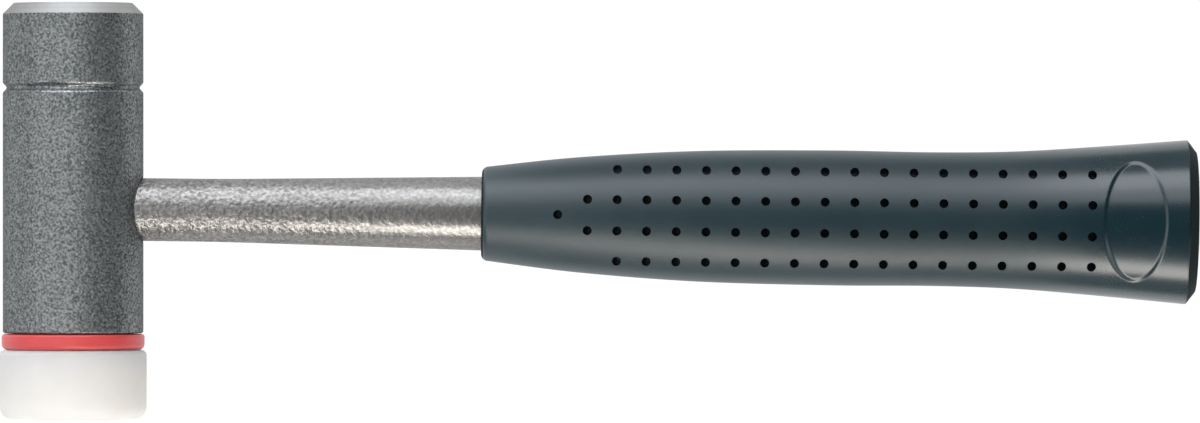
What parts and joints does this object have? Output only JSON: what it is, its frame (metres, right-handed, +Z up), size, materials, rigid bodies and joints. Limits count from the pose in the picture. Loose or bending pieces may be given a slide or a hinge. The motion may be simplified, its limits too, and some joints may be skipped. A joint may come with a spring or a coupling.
{
  "type": "hammer",
  "caption": "Combination hammer with a steel striking face, a pull-off nylon face on a red ring, a swaged tubular steel handle and a perforated rubber grip with a flared butt.",
  "frame": {"origin": "on the surface that the hammer lies on, under the middle of its bounding box", "axes": "+X along the handle from the head towards the butt, +Y along the head's axis towards the steel striking face, +Z up, square to both"},
  "size_m": [0.293, 0.1018, 0.0402],
  "materials": {
    "head_paint": "dark grey hammer-finish paint, bare ground steel on the striking face and its chamfer",
    "ring_plastic": "smooth moulded, light sheen",
    "nylon": "off-white, slightly translucent, satin",
    "tube_paint": "silver hammer-finish paint",
    "plug_steel": "turned, uncoated",
    "plug_plastic": "black, moulded",
    "grip_rubber": "blue-grey, semi-matt moulded rubber"
  },
  "bodies": {
    "hammer": {"head": "head_paint", "handle_tube": "tube_paint", "expander_plug": "plug_steel", "tube_end_plug": "plug_plastic", "grip": "grip_rubber"},
    "ring": {"insert_ring": "ring_plastic"},
    "insert": {"nylon_insert": "nylon"}
  },
  "joints": [
    {"name": "ring_pull", "type": "slide", "parent": "hammer", "child": "ring", "axis": [0, -1, 0], "range_m": [0, 0.008]},
    {"name": "insert_pull", "type": "slide", "parent": "ring", "child": "insert", "axis": [0, -1, 0], "range_m": [0, 0.02]}
  ]
}
